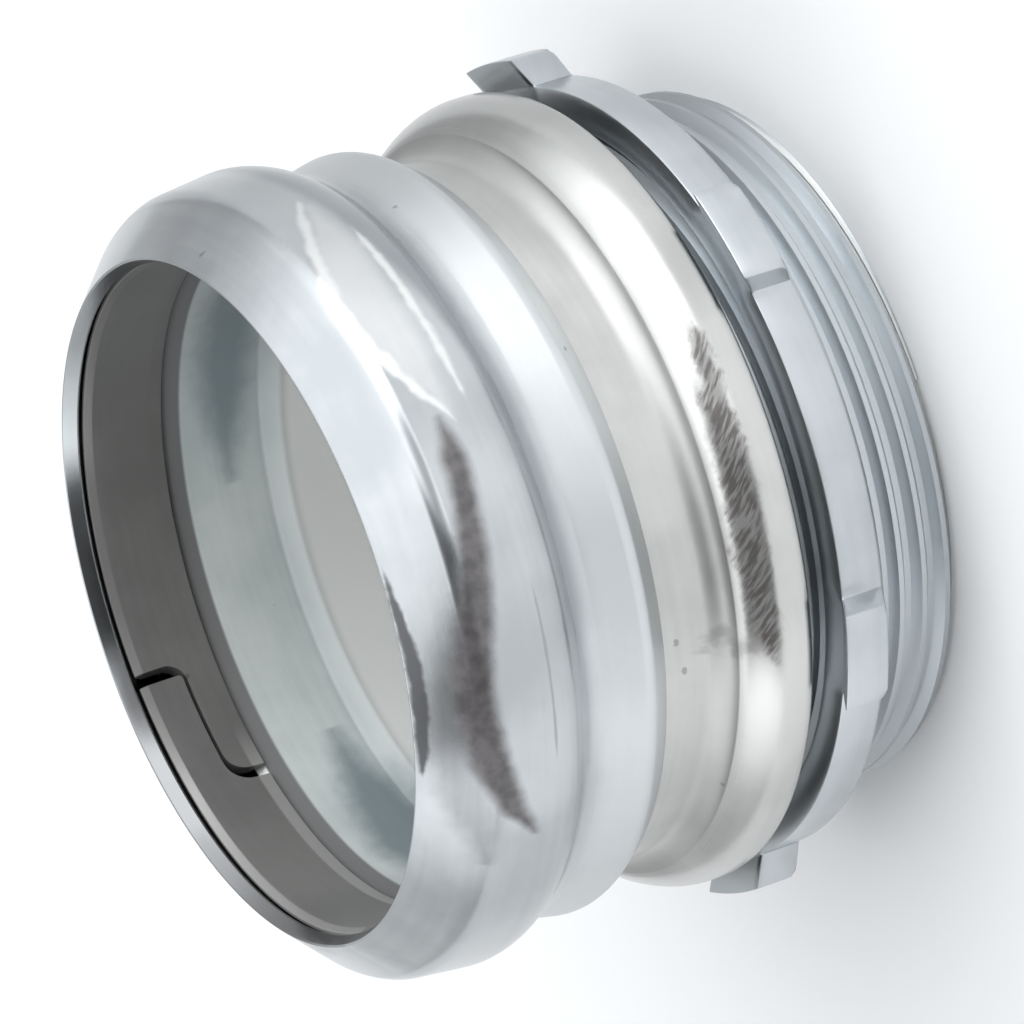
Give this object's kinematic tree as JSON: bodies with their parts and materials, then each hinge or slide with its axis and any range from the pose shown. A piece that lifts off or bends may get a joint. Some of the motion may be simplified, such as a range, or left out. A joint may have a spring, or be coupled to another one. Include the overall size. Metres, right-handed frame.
{
  "type": "compression connector",
  "caption": "Zinc-plated steel compression connector: threaded box end with a locknut and shoulder, and a beaded compression nut over a split ring that grips a conduit.",
  "frame": {"origin": "centre of the threaded end face, which the part stands on", "axes": "+Z along the axis, from the threaded box end to the mouth that takes the conduit; -Y is the side that the picture sees, and +X is the picture's upper side"},
  "size_m": [0.0724, 0.0684, 0.0511],
  "materials": {
    "zinc_body": "zinc-plated, smooth",
    "zinc_nut": "zinc-plated, bluish, lightly worn",
    "zinc_ring": "zinc-plated, dull",
    "zinc_locknut": "zinc-plated, bluish"
  },
  "bodies": {
    "connector_body": {"connector_body": "zinc_body"},
    "compression_ring": {"compression_ring": "zinc_ring"},
    "compression_nut": {"compression_nut": "zinc_nut"},
    "locknut": {"locknut": "zinc_locknut"}
  },
  "joints": [
    {"name": "ring_travel", "type": "slide", "parent": "connector_body", "child": "compression_ring", "axis": [0, 0, 1], "range_m": [0, 0.012]},
    {"name": "nut_turn", "type": "hinge", "parent": "compression_ring", "child": "compression_nut", "pos_m": [0, 0, 0], "axis": [0, 0, 1], "range_deg": [0, 2720]},
    {"name": "locknut_travel", "type": "slide", "parent": "connector_body", "child": "locknut", "axis": [0, 0, 1], "range_m": [-0.009, 0.0027]}
  ],
  "couplings": [
    {"joint": "ring_travel", "follows": "nut_turn", "m_per_rad": 0.00025266}
  ]
}
